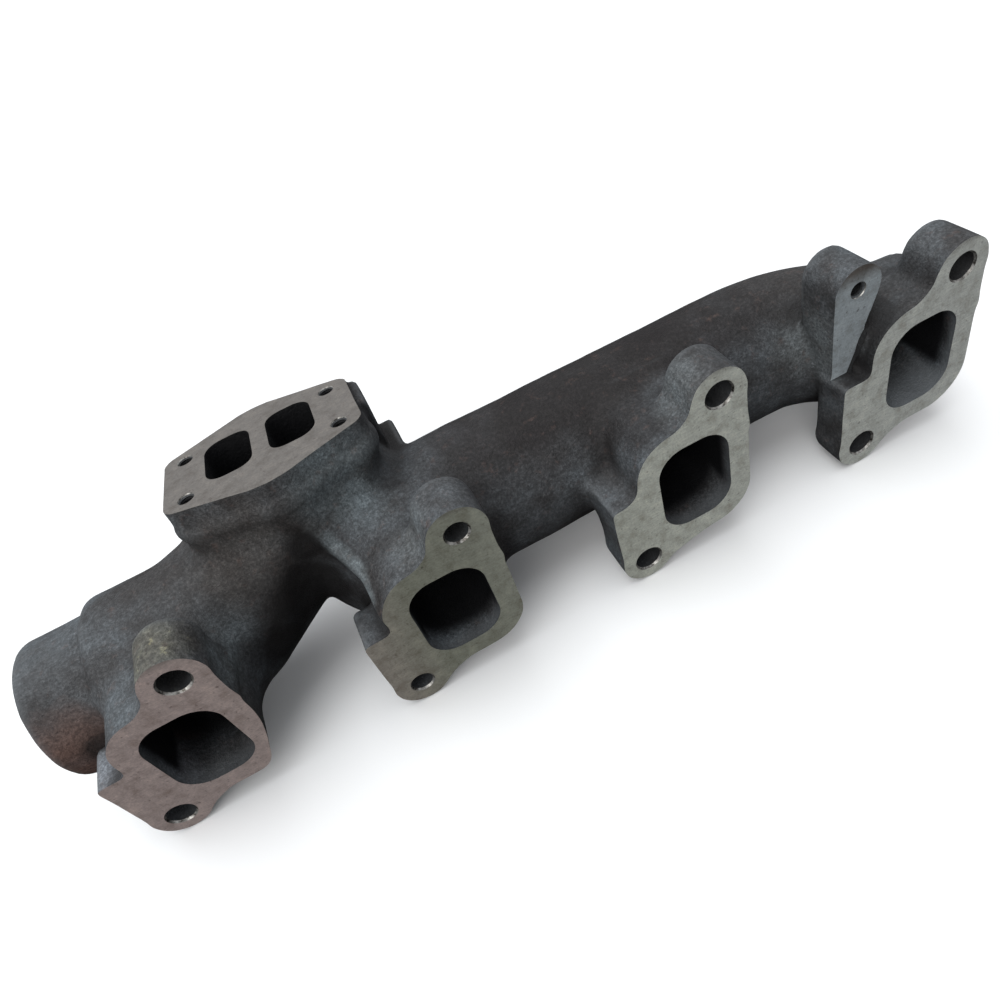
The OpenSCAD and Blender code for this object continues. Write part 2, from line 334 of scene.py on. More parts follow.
def bend_shape(x, y, z):
    body = bend_distance(x, y, z, LOG_R_SLIM - 0.3, RING_W / 2)
    body = common(body, FLANGE_T - 2 - y, 4)
    return common(body, BEND_X - 3 - x, 0)


def barrel_shape(x, y, z):
    return extrude(circle(y, z, BARREL_Y, BARREL_Z, BARREL_R), x, SOCKET_X1 + 1, BARREL_X1 + 4, 5)


def socket_shape(x, y, z):
    return extrude(circle(y, z, LOG_Y, LOG_Z, SOCKET_R), x, SOCKET_X0, SOCKET_X1 + 10, 3)


def left_leg_shape(x, y, z):
    return rod(x, y, z, LEFT_END, LEFT_FOOT, 38.0, 37.5)


def right_leg_shape(x, y, z):
    return rod(x, y, z, RIGHT_END, RIGHT_FOOT, LOG_R_WIDE, 36.5)


def ridge_shape(x, y, z):
    """The crest where runner 2's upper side turns down, from the stalk to its flange."""
    crest = 60.0
    for p, q in zip(RIDGE[:-1], RIDGE[1:]):
        crest = np.minimum(crest, rod(x, y, z, p, q, RIDGE_R, RIDGE_R))
    return crest


def crotch_shape(x, y, z):
    """The hollow between the two legs, in front of the divider web."""
    return rod(x, y, z, *CROTCH, *CROTCH_R)


def turbo_outline(u, v, r=2.0):
    """The turbocharger flange's outline, the same both ways up, with corners of radius r."""
    hx, tip = TURBO_HX, TURBO_TIP
    half = [(hx, -22), (hx, 22), (hx - 3, 26), (24, tip - 7), (8, tip - 1), (0, tip),
            (-8, tip - 1), (-24, tip - 7), (3 - hx, 26)]
    return polygon(u, v, half + [(-a, -b) for a, b in half], r)


def plate_shape(x, y, z):
    u, v, w = turbo_uvw(x, y, z)
    return extrude(turbo_outline(u, v), w, -TURBO_T, 4, 1.2)


def neck_shape(x, y, z):
    """The stalk under the flange plate: it draws in as it goes down into the two legs."""
    u, v, w = turbo_uvw(x, y, z)
    below = np.maximum(-TURBO_T - w, 0)
    draw = smoothstep(below, 0, 22)
    flat = (turbo_outline(u * (1 + 0.17 * draw), v, 14) + 3.5 * draw) * 0.9
    return common(flat, np.maximum(w + TURBO_T - 4, -46 - w), 2)


def ring_outline(i, x, z):
    """The flange round a port; port 1's is cut straight on the side towards port 2."""
    dx, dz = x - PORT[i][0], z - PORT_Z
    flat = round_rect(dx, dz, RING_W, RING_H, RING_CORNER)
    if i == 1:
        nx, nz, away = PORT_1_FLAT
        flat = common(flat, nx * dx + nz * dz - away, 5)
    return flat


def runner_shape(i):
    reach = LOG_Y - 14 if i < 4 else LOG_Y - 22
    return lambda x, y, z: extrude(ring_outline(i, x, z), y, -5, reach, 0)


def boss_outline(i, x, z):
    """The upper bolt boss: flush with the flange's right side, waisted on its left."""
    cx = PAIR_X[i] + HOLE_DX
    flush = PORT[i][0] + RING_W / 2 - cx
    points = [(cx + flush, RING_TOP - 18), (cx + flush, HOLE_DZ), (cx, HOLE_DZ + 6),
              (cx - 9.8, HOLE_DZ + 9.6), (cx - 13.2, RING_TOP + 12.6), (cx - 16.5, RING_TOP + 6),
              (cx - 21.5, RING_TOP + 1.2), (cx - 26, RING_TOP - 4), (cx - 4, 4)]
    return union(circle(x, z, cx, HOLE_DZ, flush + 0.3), polygon(x, z, points), 2)


def boss_shape(i):
    return lambda x, y, z: extrude(boss_outline(i, x, z), y, -5, BOSS_DEPTH[i], 3)


def lug_outline(i, x, z):
    """The lower bolt lug: square at its upper left corner, waisted where it meets the flange."""
    cx = PAIR_X[i] - HOLE_DX
    edge = 13.5
    points = [(cx - edge, LUG_TOP), (cx - edge, -HOLE_DZ), (cx, -HOLE_DZ - 6),
              (cx + 5.7, -HOLE_DZ - 11.9), (cx + 11.6, RING_BOTTOM - 8),
              (cx + 16.6, RING_BOTTOM - 4.5), (cx + 21.6, RING_BOTTOM - 1.5),
              (cx + 30, RING_BOTTOM + 4), (cx + 8, LUG_TOP)]
    return union(circle(x, z, cx, -HOLE_DZ, edge + 0.3), polygon(x, z, points, 1.6), 2)


def lug_shape(i):
    return lambda x, y, z: extrude(lug_outline(i, x, z), y, -5, LUG_DEPTH[i], 3)


def bracket_shape(x, y, z):
    bx, bz = BRACKET[0], BRACKET[2]
    flat = union(circle(x, z, bx, bz, BRACKET_R), polygon(x, z, BRACKET_SIDES), 0)
    return extrude(flat, y, BRACKET_FACE - 3, BRACKET_REAR, 1.2)


def pad_shape(x, y, z):
    """The stepped pad on the right side of the stalk."""
    def step(low, high):
        flat = np.maximum(np.maximum(low[0] - x, x - high[0]), np.maximum(low[1] - y, y - high[1]))
        return extrude(flat, z, low[2], high[2], 2)

    upper = step(PAD_LOW + (0, 4, 0), PAD_HIGH - (7.5, 2, 0))
    lower = step(PAD_LOW, (PAD_HIGH[0], PAD_HIGH[1], PAD_LOW[2] + 24))
    return union(upper, lower, 1)


def scroll_gas(side, x, y, z):
    """One of the two openings in the turbocharger face: side is -1 or 1."""
    u, v, w = turbo_uvw(x, y, z)
    flat = round_rect(u - side * SCROLL_U, v - SCROLL_V, SCROLL_W, SCROLL_L, SCROLL_CORNER)
    return extrude(flat, w, -58, 6)


def front_gas(x, y, z):
    """The passage of port 1 and the slip socket, up to the left opening."""
    barrel = rod(x, y, z, np.array([SOCKET_X0, BARREL_Y, BARREL_Z]),
                 np.array([LEFT_END[0], BARREL_Y, BARREL_Z]), GAS_R, GAS_R)
    leg = rod(x, y, z, LEFT_END, LEFT_FOOT, *LEG_GAS_R)
    way = union(union(barrel, leg, 6), scroll_gas(-1, x, y, z), 4)
    return common(way, x - WEB_X0, 3)


def rear_gas(x, y, z):
    """The passage of ports 2 to 4, up to the right opening."""
    log = log_distance(x, y, z, GAS_R)
    bend = common(bend_distance(x, y, z, GAS_R - 1, PORT_W / 2), BEND_X - 3 - x)
    leg = rod(x, y, z, RIGHT_END, RIGHT_FOOT, *LEG_GAS_R)
    way = union(union(union(log, bend, 3), leg, 6), scroll_gas(1, x, y, z), 4)
    return common(way, WEB_X1 - x, 3)


def port_gas(i):
    reach = LOG_Y - 10 if i < 4 else LOG_Y - 20

    def shape(x, y, z):
        flat = round_rect(x - PORT[i][0], z - PORT_Z, PORT_W, PORT_H, PORT_CORNER)
        return extrude(flat, y, -6, reach)
    return shape


def gas_shapes():
    """The cored passages: each is a shape with the corners of the space round it."""
    low, high = FIELD_LOW, FIELD_HIGH
    yield front_gas, low, (WEB_X0 + 6, high[1], high[2])
    yield rear_gas, (WEB_X1 - 6, low[1], low[2]), high
    for i in PORTS:
        x = PORT[i][0]
        yield port_gas(i), (x - 28, -8, PORT_Z - 36), (x + 28, LOG_Y, PORT_Z + 36)


def waviness(x, y, z):
    """The slight unevenness of a sand-cast skin, a few tenths of a millimetre."""
    return (0.16 * np.sin(x * 0.13 + 1.7 * np.sin(z * 0.07)) * np.sin(y * 0.11 + 0.6)
            + 0.12 * np.sin(z * 0.17 + 0.9) * np.sin(x * 0.09 + y * 0.12)
            + 0.08 * np.sin(x * 0.41 + y * 0.23) * np.sin(z * 0.37 - x * 0.11))


def casting_field():
    """The iron, joined piece by piece with its fillets, and the gas passages inside it.

    Each shape is joined only in a box round it, with room for its fillet.
    """
    field = Field(FIELD_LOW, FIELD_HIGH, STEP)
    low, high = FIELD_LOW, FIELD_HIGH
    room = 14
    lift = LOG_Z + 42 + room
    field.add(socket_shape, (low[0], 0, low[2]), (SOCKET_X1 + 20, high[1], lift))
    field.add(barrel_shape, (SOCKET_X1 - room, 0, low[2]), (BARREL_X1 + room, high[1], lift), 4)
    field.add(left_leg_shape, (BARREL_X1 - 55, 0, low[2]), (LEFT_FOOT[0] + 52, high[1], high[2]), 8)
    field.add(right_leg_shape, (RIGHT_FOOT[0] - 50, 0, low[2]),
              (RIGHT_END[0] + 52, high[1], high[2]), 6)
    field.add(log_shape, (RIGHT_END[0] - 52, 0, low[2]), (BEND_X + 52, high[1], lift), 3)
    field.add(bend_shape, (BEND_X - 6, 0, low[2]), (high[0], high[1], lift), 1)
    field.add(neck_shape, (TURBO[0] - 64, low[1], TURBO[2] - 60),
              (TURBO[0] + 64, high[1], high[2]), 9)
    for i in PORTS:
        c = PORT[i]
        field.add(runner_shape(i), (c[0] - 48, -8, c[2] - 54), (c[0] + 48, LOG_Y, c[2] + 54),
                  RUNNER_FILLET[i])
    field.cut(crotch_shape, CROTCH.min(0) - 2 * room, CROTCH.max(0) + 2 * room, 8)
    field.add(ridge_shape, RIDGE.min(0) - room, RIDGE.max(0) + room, 4)
    field.add(plate_shape, (TURBO[0] - 60, low[1], TURBO[2] - 42),
              (TURBO[0] + 60, high[1], high[2]), 5)
    field.add(pad_shape, PAD_LOW - room, PAD_HIGH + room, 3)
    for i in PORTS:
        c = PORT[i]
        field.add(boss_shape(i), (c[0] - 26, -8, c[2] - 4), (c[0] + 46, LOG_Y, high[2]), 4)
        field.add(lug_shape(i), (c[0] - 60, -8, low[2]), (c[0] + 30, LOG_Y, LUG_TOP + room),
                  LUG_FILLET[i])
    field.add(bracket_shape, (BRACKET[0] - 28, 0, LUG_TOP - room),
              (BRACKET[0] + 28, BRACKET_REAR + room, BRACKET[2] + 28), 4)
    x, y, z = field.axes
    field.d += waviness(x[:, None, None], y[None, :, None], z[None, None, :]).astype(np.float32)
    gas = Field(FIELD_LOW, FIELD_HIGH, STEP)
    for shape, a, b in gas_shapes():
        gas.add(shape, a, b, 4)
    field.d = common(field.d, -gas.d, 1.5)
    field.smooth()
    return field, gas


# ---- from the field to a mesh ----

EDGES = [(a, b) for a in range(8) for b in range(a + 1, 8)
         if np.abs(CUBE[a] - CUBE[b]).sum() == 1]


def surface_net(field):
    """One point in each cell that the surface crosses, and one quad for each crossed grid edge."""
    d = field.d
    inside = d < 0
    n = np.array(d.shape) - 1
    total = np.zeros(n, np.int8)
    for c in CUBE:
        total += inside[c[0]:c[0] + n[0], c[1]:c[1] + n[1], c[2]:c[2] + n[2]]
    cells = np.argwhere((total > 0) & (total < 8))
    corner = np.stack([d[tuple((cells + c).T)] for c in CUBE], 1)
    place = np.zeros((len(cells), 3))
    hits = np.zeros(len(cells))
    for a, b in EDGES:
        va, vb = corner[:, a], corner[:, b]
        crossed = (va < 0) != (vb < 0)
        t = np.where(crossed, va / np.where(crossed, va - vb, 1), 0)
        place += crossed[:, None] * (CUBE[a] + t[:, None] * (CUBE[b] - CUBE[a]))
        hits += crossed
    points = field.low + field.step * (cells + place / hits[:, None])
    index = np.full(n, -1, np.int64)
    index[tuple(cells.T)] = np.arange(len(cells))
    unit = np.eye(3, dtype=int)
    quads = []
    for axis in range(3):
        u, v = unit[axis - 2], unit[axis - 1]
        ends = [[slice(1, -1)] * 3 for _ in range(2)]
        ends[0][axis] = slice(0, -1)
        ends[1][axis] = slice(1, None)
        first, second = (inside[tuple(end)] for end in ends)
        crossed = np.argwhere(first != second)
        keeps = first[tuple(crossed.T)]
        base = crossed + u + v
        around = [index[tuple((base + du * u + dv * v).T)]
                  for du, dv in ((-1, -1), (0, -1), (0, 0), (-1, 0))]
        quad = np.stack(around, 1)
        quads.append(np.where(keeps[:, None], quad, quad[:, ::-1]))
    return points, np.concatenate(quads)


def read(mesh, collection, name, width, kind=np.float32):
    """One property of all the items of a mesh collection, as rows of width numbers."""
    items = getattr(mesh, collection)
    values = np.empty(len(items) * width, kind)
    items.foreach_get(name, values)
    return values.reshape(-1, width) if width > 1 else values


def in_scene(name, data):
    obj = bpy.data.objects.new(name, data)
    bpy.context.scene.collection.objects.link(obj)
    return obj


def whole_casting(points, quads):
    """The object made of points in millimetres and faces of four corners, all in slot CAST."""
    mesh = bpy.data.meshes.new("casting")
    mesh.vertices.add(len(points))
    mesh.vertices.foreach_set("co", (points * MM).astype(np.float32).ravel())
    mesh.loops.add(quads.size)
    mesh.loops.foreach_set("vertex_index", quads.astype(np.int32).ravel())
    mesh.polygons.add(len(quads))
    mesh.polygons.foreach_set("loop_start", 4 * np.arange(len(quads), dtype=np.int32))
    for m in SLOT_MATERIALS:
        mesh.materials.append(m)
    mesh.update(calc_edges=True)
    mesh.validate()
    return in_scene("casting", mesh)


def boolean(obj, cutter, operation):
    """The result of obj and cutter as a new mesh; obj itself stays as it was."""
    modifier = obj.modifiers.new("cut", "BOOLEAN")
    modifier.solver = "MANIFOLD"
    modifier.operation = operation
    modifier.object = cutter
    bpy.context.view_layer.update()
    mesh = bpy.data.meshes.new_from_object(obj.evaluated_get(bpy.context.evaluated_depsgraph_get()))
    obj.modifiers.remove(modifier)
    return mesh


def discard(obj):
    mesh = obj.data
    bpy.data.objects.remove(obj)
    bpy.data.meshes.remove(mesh)


def carve(obj, cutter):
    """Cuts cutter out of obj, and deletes the cutter."""
    old = obj.data
    obj.data = boolean(obj, cutter, "DIFFERENCE")
    bpy.data.meshes.remove(old)
    discard(cutter)
    return obj


def solid(name, points, t0, t1, slots, place=None):
    """An object for cutting: the outline points (x, z) carried along Y from t0 to t1.

    A place function moves the points somewhere else. The slots are one for all the faces, or
    a row: front cap, back cap and then the sides.
    """
    n = len(points)
    verts = np.vstack([np.insert(np.array(points, float), 1, t, axis=1) for t in (t0, t1)])
    if place is not None:
        verts = place(verts)
    mesh = bpy.data.meshes.new(name)
    sides = [(i, (i + 1) % n, n + (i + 1) % n, n + i) for i in range(n)]
    mesh.from_pydata((verts * MM).tolist(), [],
                     [tuple(range(n - 1, -1, -1)), tuple(range(n, 2 * n))] + sides)
    return finish_cutter(name, mesh, slots)


def lathe(name, profile, origin, direction, turns=64, chamfer_row=None):
    """A turned cutter: profile is (distance along direction, radius) from one end to the other.

    The faces between points chamfer_row and chamfer_row + 1 cut a bright chamfer.
    """
    d = np.array(direction, float)
    d /= np.linalg.norm(d)
    side = np.cross(d, [1.0, 0, 0] if abs(d[0]) < 0.9 else [0, 0, 1.0])
    side /= np.linalg.norm(side)
    other = np.cross(d, side)
    angle = np.arange(turns) * 2 * math.pi / turns
    round_d = np.outer(np.cos(angle), side) + np.outer(np.sin(angle), other)
    verts = np.concatenate([np.array(origin) + t * d + r * round_d for t, r in profile])
    faces = [tuple(range(turns - 1, -1, -1)),
             tuple(range(len(verts) - turns, len(verts)))]
    for row in range(len(profile) - 1):
        a = row * turns
        for j in range(turns):
            k = (j + 1) % turns
            faces.append((a + j, a + k, a + turns + k, a + turns + j))
    mesh = bpy.data.meshes.new(name)
    mesh.from_pydata((verts * MM).tolist(), [], faces)
    slots = np.full(len(faces), SEAM, np.int32)
    if chamfer_row is not None:
        slots[2 + chamfer_row * turns:2 + (chamfer_row + 1) * turns] = BRIGHT
    return finish_cutter(name, mesh, slots)


def finish_cutter(name, mesh, slots):
    for m in SLOT_MATERIALS:
        mesh.materials.append(m)
    mesh.polygons.foreach_set("material_index", np.full(len(mesh.polygons), slots, np.int32))
    mesh.update(calc_edges=True)
    obj = in_scene(name, mesh)
    bpy.context.view_layer.update()
    if signed_volume(mesh) < 0:
        mesh.flip_normals()
    return obj


def signed_volume(mesh):
    """Six times the volume: below 0 where the faces look inwards."""
    mesh.calc_loop_triangles()
    co = read(mesh, "vertices", "co", 3)
    tri = read(mesh, "loop_triangles", "vertices", 3, np.int32)
    a, b, c = (co[tri[:, j]] for j in range(3))
    return float((a * np.cross(b, c)).sum())


def block(name, low, high, slots):
    """A box for cutting, from its lowest to its highest corner."""
    (x0, y0, z0), (x1, y1, z1) = low, high
    return solid(name, [(x0, z0), (x1, z0), (x1, z1), (x0, z1)], y0, y1, slots)


# ---- materials ----


class Nodes:
    """Short calls for building a node material."""

    def __init__(self, name):
        self.material = bpy.data.materials.new(name)
        self.material.use_nodes = True
        self.tree = self.material.node_tree
        self.shader = self.tree.nodes["Principled BSDF"]
        self.place = self.new("ShaderNodeTexCoord").outputs["Object"]
        split = self.new("ShaderNodeSeparateXYZ")
        self.link(self.place, split.inputs["Vector"])
        self.x, self.y, self.z = split.outputs

    def new(self, kind, **settings):
        node = self.tree.nodes.new(kind)
        for name, value in settings.items():
            setattr(node, name, value)
        return node

    def link(self, value, socket):
        """Feeds a socket from another one, or sets it to a number or a colour."""
        if isinstance(value, bpy.types.NodeSocket):
            self.tree.links.new(value, socket)
        else:
            socket.default_value = (*value, 1) if isinstance(value, tuple) else value

    def set(self, name, value):
        self.link(value, self.shader.inputs[name])

    def noise(self, size_mm, detail, roughness, stretch=None):
        """Noise whose blots are about size_mm across; returns a value round 0.5."""
        node = self.new("ShaderNodeTexNoise")
        where = self.place
        if stretch is not None:
            mapping = self.new("ShaderNodeMapping")
            mapping.inputs["Scale"].default_value = stretch
            self.link(where, mapping.inputs["Vector"])
            where = mapping.outputs["Vector"]
        self.link(where, node.inputs["Vector"])
        node.inputs["Scale"].default_value = 1 / (size_mm * MM)
        node.inputs["Detail"].default_value = detail
        node.inputs["Roughness"].default_value = roughness
        return node.outputs["Fac"]

    def ramp(self, value, stops):
        """Colours along a value; a stop is a place and a colour, or a single grey."""
        node = self.new("ShaderNodeValToRGB")
        elements = node.color_ramp.elements
        while len(elements) < len(stops):
            elements.new(0.5)
        for element, (at, color) in zip(elements, stops):
            element.position = at
            element.color = (*color, 1) if isinstance(color, tuple) else (color,) * 3 + (1,)
        self.link(value, node.inputs["Fac"])
        return node.outputs["Color"]

    def math(self, operation, a, b):
        node = self.new("ShaderNodeMath", operation=operation)
        self.link(a, node.inputs[0])
        self.link(b, node.inputs[1])
        return node.outputs["Value"]

    def mix(self, factor, a, b, blend="MIX"):
        node = self.new("ShaderNodeMix", data_type="RGBA", blend_type=blend)
        self.link(factor, node.inputs[0])
        self.link(a, node.inputs[6])
        self.link(b, node.inputs[7])
        return node.outputs[2]

    def range(self, value, a, b, c, d):
        """Value carried from the range a to b over to the range c to d."""
        node = self.new("ShaderNodeMapRange")
        for socket, v in zip(node.inputs, (value, a, b, c, d)):
            self.link(v, socket)
        return node.outputs["Result"]

    def patch(self, centre_mm, radius_mm, soft_mm):
        """1 near a place on the object, fading to 0 at radius_mm, with a noisy edge."""
        node = self.new("ShaderNodeVectorMath", operation="DISTANCE")
        self.link(self.place, node.inputs[0])
        node.inputs[1].default_value = [c * MM for c in centre_mm]
        wobble = self.math("MULTIPLY", self.math("SUBTRACT", self.noise(14, 4, 0.6), 0.5),
                           1.6 * soft_mm * MM)
        away = self.math("ADD", node.outputs["Value"], wobble)
        return self.range(away, (radius_mm - soft_mm) * MM, (radius_mm + soft_mm) * MM, 1.0, 0.0)

    def paint(self, base, mask, strength, color):
        return self.mix(self.math("MULTIPLY", mask, strength), base, color)

    def tint(self, base, value, stops):
        """Base multiplied by the colours that the stops give along a value."""
        return self.mix(1.0, base, self.ramp(value, stops), "MULTIPLY")

    def spots(self, spots):
        """The strongest of some patches; each spot is centre, radius and soft edge, in mm."""
        mask = self.patch(*spots[0])
        for spot in spots[1:]:
            mask = self.math("MAXIMUM", mask, self.patch(*spot))
        return mask

    def bump(self, height, depth_mm, normal=None):
        node = self.new("ShaderNodeBump")
        node.inputs["Distance"].default_value = depth_mm * MM
        self.link(height, node.inputs["Height"])
        if normal is not None:
            self.link(normal, node.inputs["Normal"])
        return node.outputs["Normal"]

    def attribute(self, name):
        return self.new("ShaderNodeAttribute", attribute_name=name).outputs["Fac"]


def skin_tones_and_painted_light():
    """Where the cast skin is paler or darker: spots, strength and colour, in painting order.
    The pale spots are painted light and painted highlights on lit walls, flanks and the stalk; the
    dark spots at port 3's shoulder make the skin nearly black there.
    """
    boss_x = {i: PAIR_X[i] + HOLE_DX for i in PORTS}
    # Painted light: the wall left of lug 1 is painted much paler, where the light falls on it.
    lit_wall_left_of_lug_1 = ([PAIR_X[1] - 36, 8, -24], 25, 9)
    yield [lit_wall_left_of_lug_1], 0.9, (0.280, 0.300, 0.335)
    # Painted highlight: a pale blue-grey sheen on the right of the stalk under the turbocharger
    # flange.
    stalk = ([TURBO[0] + 27, TURBO[1] - 40, TURBO[2] - 10], 22, 8)
    yield [stalk], 0.75, (0.100, 0.117, 0.124)
    # Painted highlight: a pale blue-grey sheen on the upper right of runner 1.
    highlight_beside_runner_1 = ([PORT[1][0] + 34, 20, 24], 18, 6)
    yield [highlight_beside_runner_1], 0.75, (0.115, 0.130, 0.137)
    shoulder_3 = [([PORT[3][0] - 20, 35, 27], 20, 6), ([boss_x[3] - 30, 16, 29], 15, 6)]
    yield shoulder_3, 0.8, (0.016, 0.014, 0.014)
    # Painted light: paler skin on the left flanks of bosses 2 and 3 and left of the bracket boss,
    # where the light falls.
    for lit_flank in (([boss_x[2] - 18, 13, HOLE_DZ], 13, 6),
                  ([boss_x[3] - 14, 11, HOLE_DZ + 4], 13, 6),
                  ([BRACKET[0] - 14, 20, 20], 18, 6)):
        yield [lit_flank], 0.75, (0.112, 0.122, 0.126)


def skin_color(n, clumps):
    """The colours of the cast skin: blue-grey, nearly black along the log, and in patches. Some
    patches are painted light, and a painted highlight runs along runner 2's crest.
    """
    regions = n.noise(55, 3, 0.55)
    base = n.ramp(regions, [(0.36, (0.040, 0.038, 0.038)), (0.50, (0.058, 0.060, 0.063)),
                            (0.64, (0.078, 0.086, 0.093))])
    along_log = n.math("MULTIPLY", n.range(n.x, -10 * MM, 50 * MM, 0.0, 1.0),
                       n.range(n.x, 190 * MM, 235 * MM, 1.0, 0.0))
    along_log = n.math("MULTIPLY", along_log, n.range(n.y, 26 * MM, 44 * MM, 0.0, 1.0))
    base = n.mix(along_log, base, n.ramp(regions, [(0.35, (0.013, 0.0105, 0.011)),
                                                   (0.50, (0.017, 0.0150, 0.015)),
                                                   (0.65, (0.030, 0.0285, 0.030))]))
    # Patches of skin tone and of painted light, in painting order.
    for spots, strength, color in skin_tones_and_painted_light():
        base = n.paint(base, n.spots(spots), strength, color)
    boss_1_top = n.patch([PAIR_X[1] + HOLE_DX - 6, 10, HOLE_DZ + 14], 17, 6)
    yellowish = n.ramp(clumps, [(0.40, (0.095, 0.092, 0.078)), (0.62, (0.125, 0.122, 0.098)),
                                (0.72, (0.330, 0.310, 0.200))])
    base = n.paint(base, boss_1_top, 0.7, yellowish)
    # Painted highlight: a pale blue-grey line along the crest of runner 2.
    base = n.paint(base, n.attribute("crest"), 0.85, (0.155, 0.178, 0.186))
    brown_wall = n.patch([TURBO[0] - 30, TURBO[1] - 46, TURBO[2] - 20], 30, 12)
    return n.paint(base, brown_wall, 0.7, (0.056, 0.050, 0.046))


def rusted(n, base, specks):
    """Rust on the front of the slip socket, and a little in small spots everywhere."""
    socket_side = [SOCKET_X0 + 9, LOG_Y - 0.80 * SOCKET_R, LOG_Z - 0.60 * SOCKET_R]
    on_socket = n.math("MULTIPLY", n.patch(socket_side, 43, 9),
                       n.range(n.y, 24 * MM, 27 * MM, 0.0, 0.95))
    anywhere = n.range(n.noise(6, 5, 0.7), 0.58, 0.74, 0.0, 0.35)
    return n.mix(n.math("MAXIMUM", on_socket, anywhere), base,
                 n.ramp(specks, [(0.3, (0.066, 0.040, 0.034)), (0.7, (0.185, 0.115, 0.094))]))


def wear_soot_and_painted_shading(n, base):
    """Paler worn edges; painted shade in the creases, the hollows and between the legs; and in the
    ports sooty skin darkened further as painted shade, with the skin just inside them painted paler
    as painted light.
    """
    edge = n.attribute("edge")
    base = n.mix(n.range(edge, 0.30, 1.0, 0.0, 0.38), base, (0.125, 0.133, 0.140))
    # Painted shade: the creases and small hollows, where edge is below 0, are darkened.
    base = n.mix(n.range(edge, -0.15, -0.9, 0.0, 0.65), base, (0.014, 0.012, 0.012))
    # Painted shade: the hollow between the two legs is painted nearly black.
    shade_between_legs = [([-50, 41, 8], 25, 9), ([-72, 33, -6], 18, 8), ([-40, 46, 32], 11, 4)]
    base = n.paint(base, n.spots(shade_between_legs), 0.92, (0.008, 0.007, 0.007))
    # Painted shade: skin darkened where other iron stands close in front of it.
    valley = n.range(n.attribute("valley"), 0.20, 0.62, 0.0, 0.80)
    base = n.mix(valley, base, (0.012, 0.011, 0.011))
    # Sooty skin and painted shade, near black, deep in the ports and holes; painted light, a paler
    # skin, just inside the ports.
    soot = n.attribute("soot")
    base = n.mix(n.range(soot, 0.0, -1.0, 0.0, 0.85), base, (0.150, 0.162, 0.172))
    return n.mix(soot, base, (0.005, 0.005, 0.006))


def cast_iron():
    """Sand-cast iron: a dark skin with a sandy grain, rust in places, sooty ports, and painted light
    and painted shade in patches, creases, hollows and the ports.
    """
    n = Nodes("cast_iron")
    grain = n.noise(0.8, 2, 0.75)
    specks = n.noise(1.7, 3, 0.7)
    clumps = n.noise(4.5, 4, 0.65)
    blots = n.noise(15, 4, 0.6)
    base = skin_color(n, clumps)
    base = n.tint(base, blots, [(0.3, (0.66, 0.62, 0.60)), (0.5, 1.0), (0.70, (1.32, 1.36, 1.38))])
    base = n.tint(base, specks, [(0.32, 0.64), (0.5, 0.97), (0.70, 1.60)])
    base = n.tint(base, grain, [(0.3, 0.75), (0.5, 1.0), (0.72, 1.35)])
    base = wear_soot_and_painted_shading(n, rusted(n, base, specks))
    n.set("Base Color", base)
    n.set("Specular IOR Level", 0.22)
    n.set("Roughness", n.range(blots, 0.3, 0.7, 0.52, 0.70))
    sandy = n.bump(specks, 0.45, n.bump(grain, 0.30))
    n.set("Normal", n.bump(clumps, 0.45, sandy))
    return n.material


def machined_iron():
    """Milled faces: fine tool lines, a rust film that is strongest at the front port, dark pores."""
    n = Nodes("machined_iron")
    along = n.range(n.x, PORT[1][0] * MM, PORT[4][0] * MM, 0.0, 1.0)
    film = n.ramp(along, [(0.0, (0.485, 0.398, 0.375)), (0.12, (0.475, 0.392, 0.365)),
                          (0.30, (0.290, 0.298, 0.242)), (0.38, (0.305, 0.314, 0.260)),
                          (0.60, (0.620, 0.640, 0.570)), (1.0, (0.600, 0.620, 0.585))])
    behind_gasket_plane = n.range(n.y, 1 * MM, 3 * MM, 0.0, 1.0)
    film = n.mix(behind_gasket_plane, film, (0.400, 0.445, 0.470))
    above_ports = n.range(n.z, (HOLE_DZ + 10) * MM, (HOLE_DZ + 18) * MM, 0.0, 1.0)
    film = n.mix(above_ports, film, (0.146, 0.134, 0.123))
    lines = n.noise(0.5, 2, 0.6, (0.06, 1.0, 1.0))
    blots = n.noise(8, 5, 0.7)
    grain = n.noise(1.1, 3, 0.7)
    pores = n.range(n.noise(2.6, 3, 0.7), 0.60, 0.70, 0.0, 0.55)
    base = n.tint(film, blots, [(0.3, (0.72, 0.68, 0.64)), (0.5, 1.0), (0.7, (1.22, 1.20, 1.17))])
    base = n.tint(base, grain, [(0.3, 0.84), (0.7, 1.18)])
    base = n.tint(base, lines, [(0.3, 0.90), (0.7, 1.10)])
    base = n.mix(pores, base, (0.060, 0.042, 0.034))
    n.set("Base Color", base)
    n.set("Metallic", 0.35)
    n.set("Roughness", n.range(blots, 0.3, 0.7, 0.42, 0.60))
    n.set("Normal", n.bump(lines, 0.05, n.bump(grain, 0.08)))
    return n.material


def bright_iron():
    """The drilled chamfers, where bare metal still shows."""
    n = Nodes("bright_iron")
    blots = n.noise(2.5, 4, 0.6)
    tarnish = n.ramp(blots, [(0.38, (0.08, 0.072, 0.064)), (0.66, (0.55, 0.54, 0.51))])
    n.set("Base Color", tarnish)
    n.set("Metallic", 0.8)
    n.set("Roughness", n.range(blots, 0.3, 0.7, 0.25, 0.42))
    n.set("Normal", n.bump(n.noise(0.7, 2, 0.6), 0.06))
    return n.material


# The SEAM slot marks the cuts between pieces while the casting is divided.
CAST, MACHINED, BRIGHT, SEAM = 0, 1, 2, 3
MATERIALS = [cast_iron(), machined_iron(), bright_iron()]
SLOT_MATERIALS = MATERIALS + MATERIALS[:1]

# ---- cutting: machined faces, holes and bores ----


def turbo_place(verts):
    """Moves points given as (u, w, -v) on to the turbocharger face."""
    u, w, v = (verts[:, [a]] for a in range(3))
    return TURBO + u * TURBO_U + w * TURBO_N - v * TURBO_V


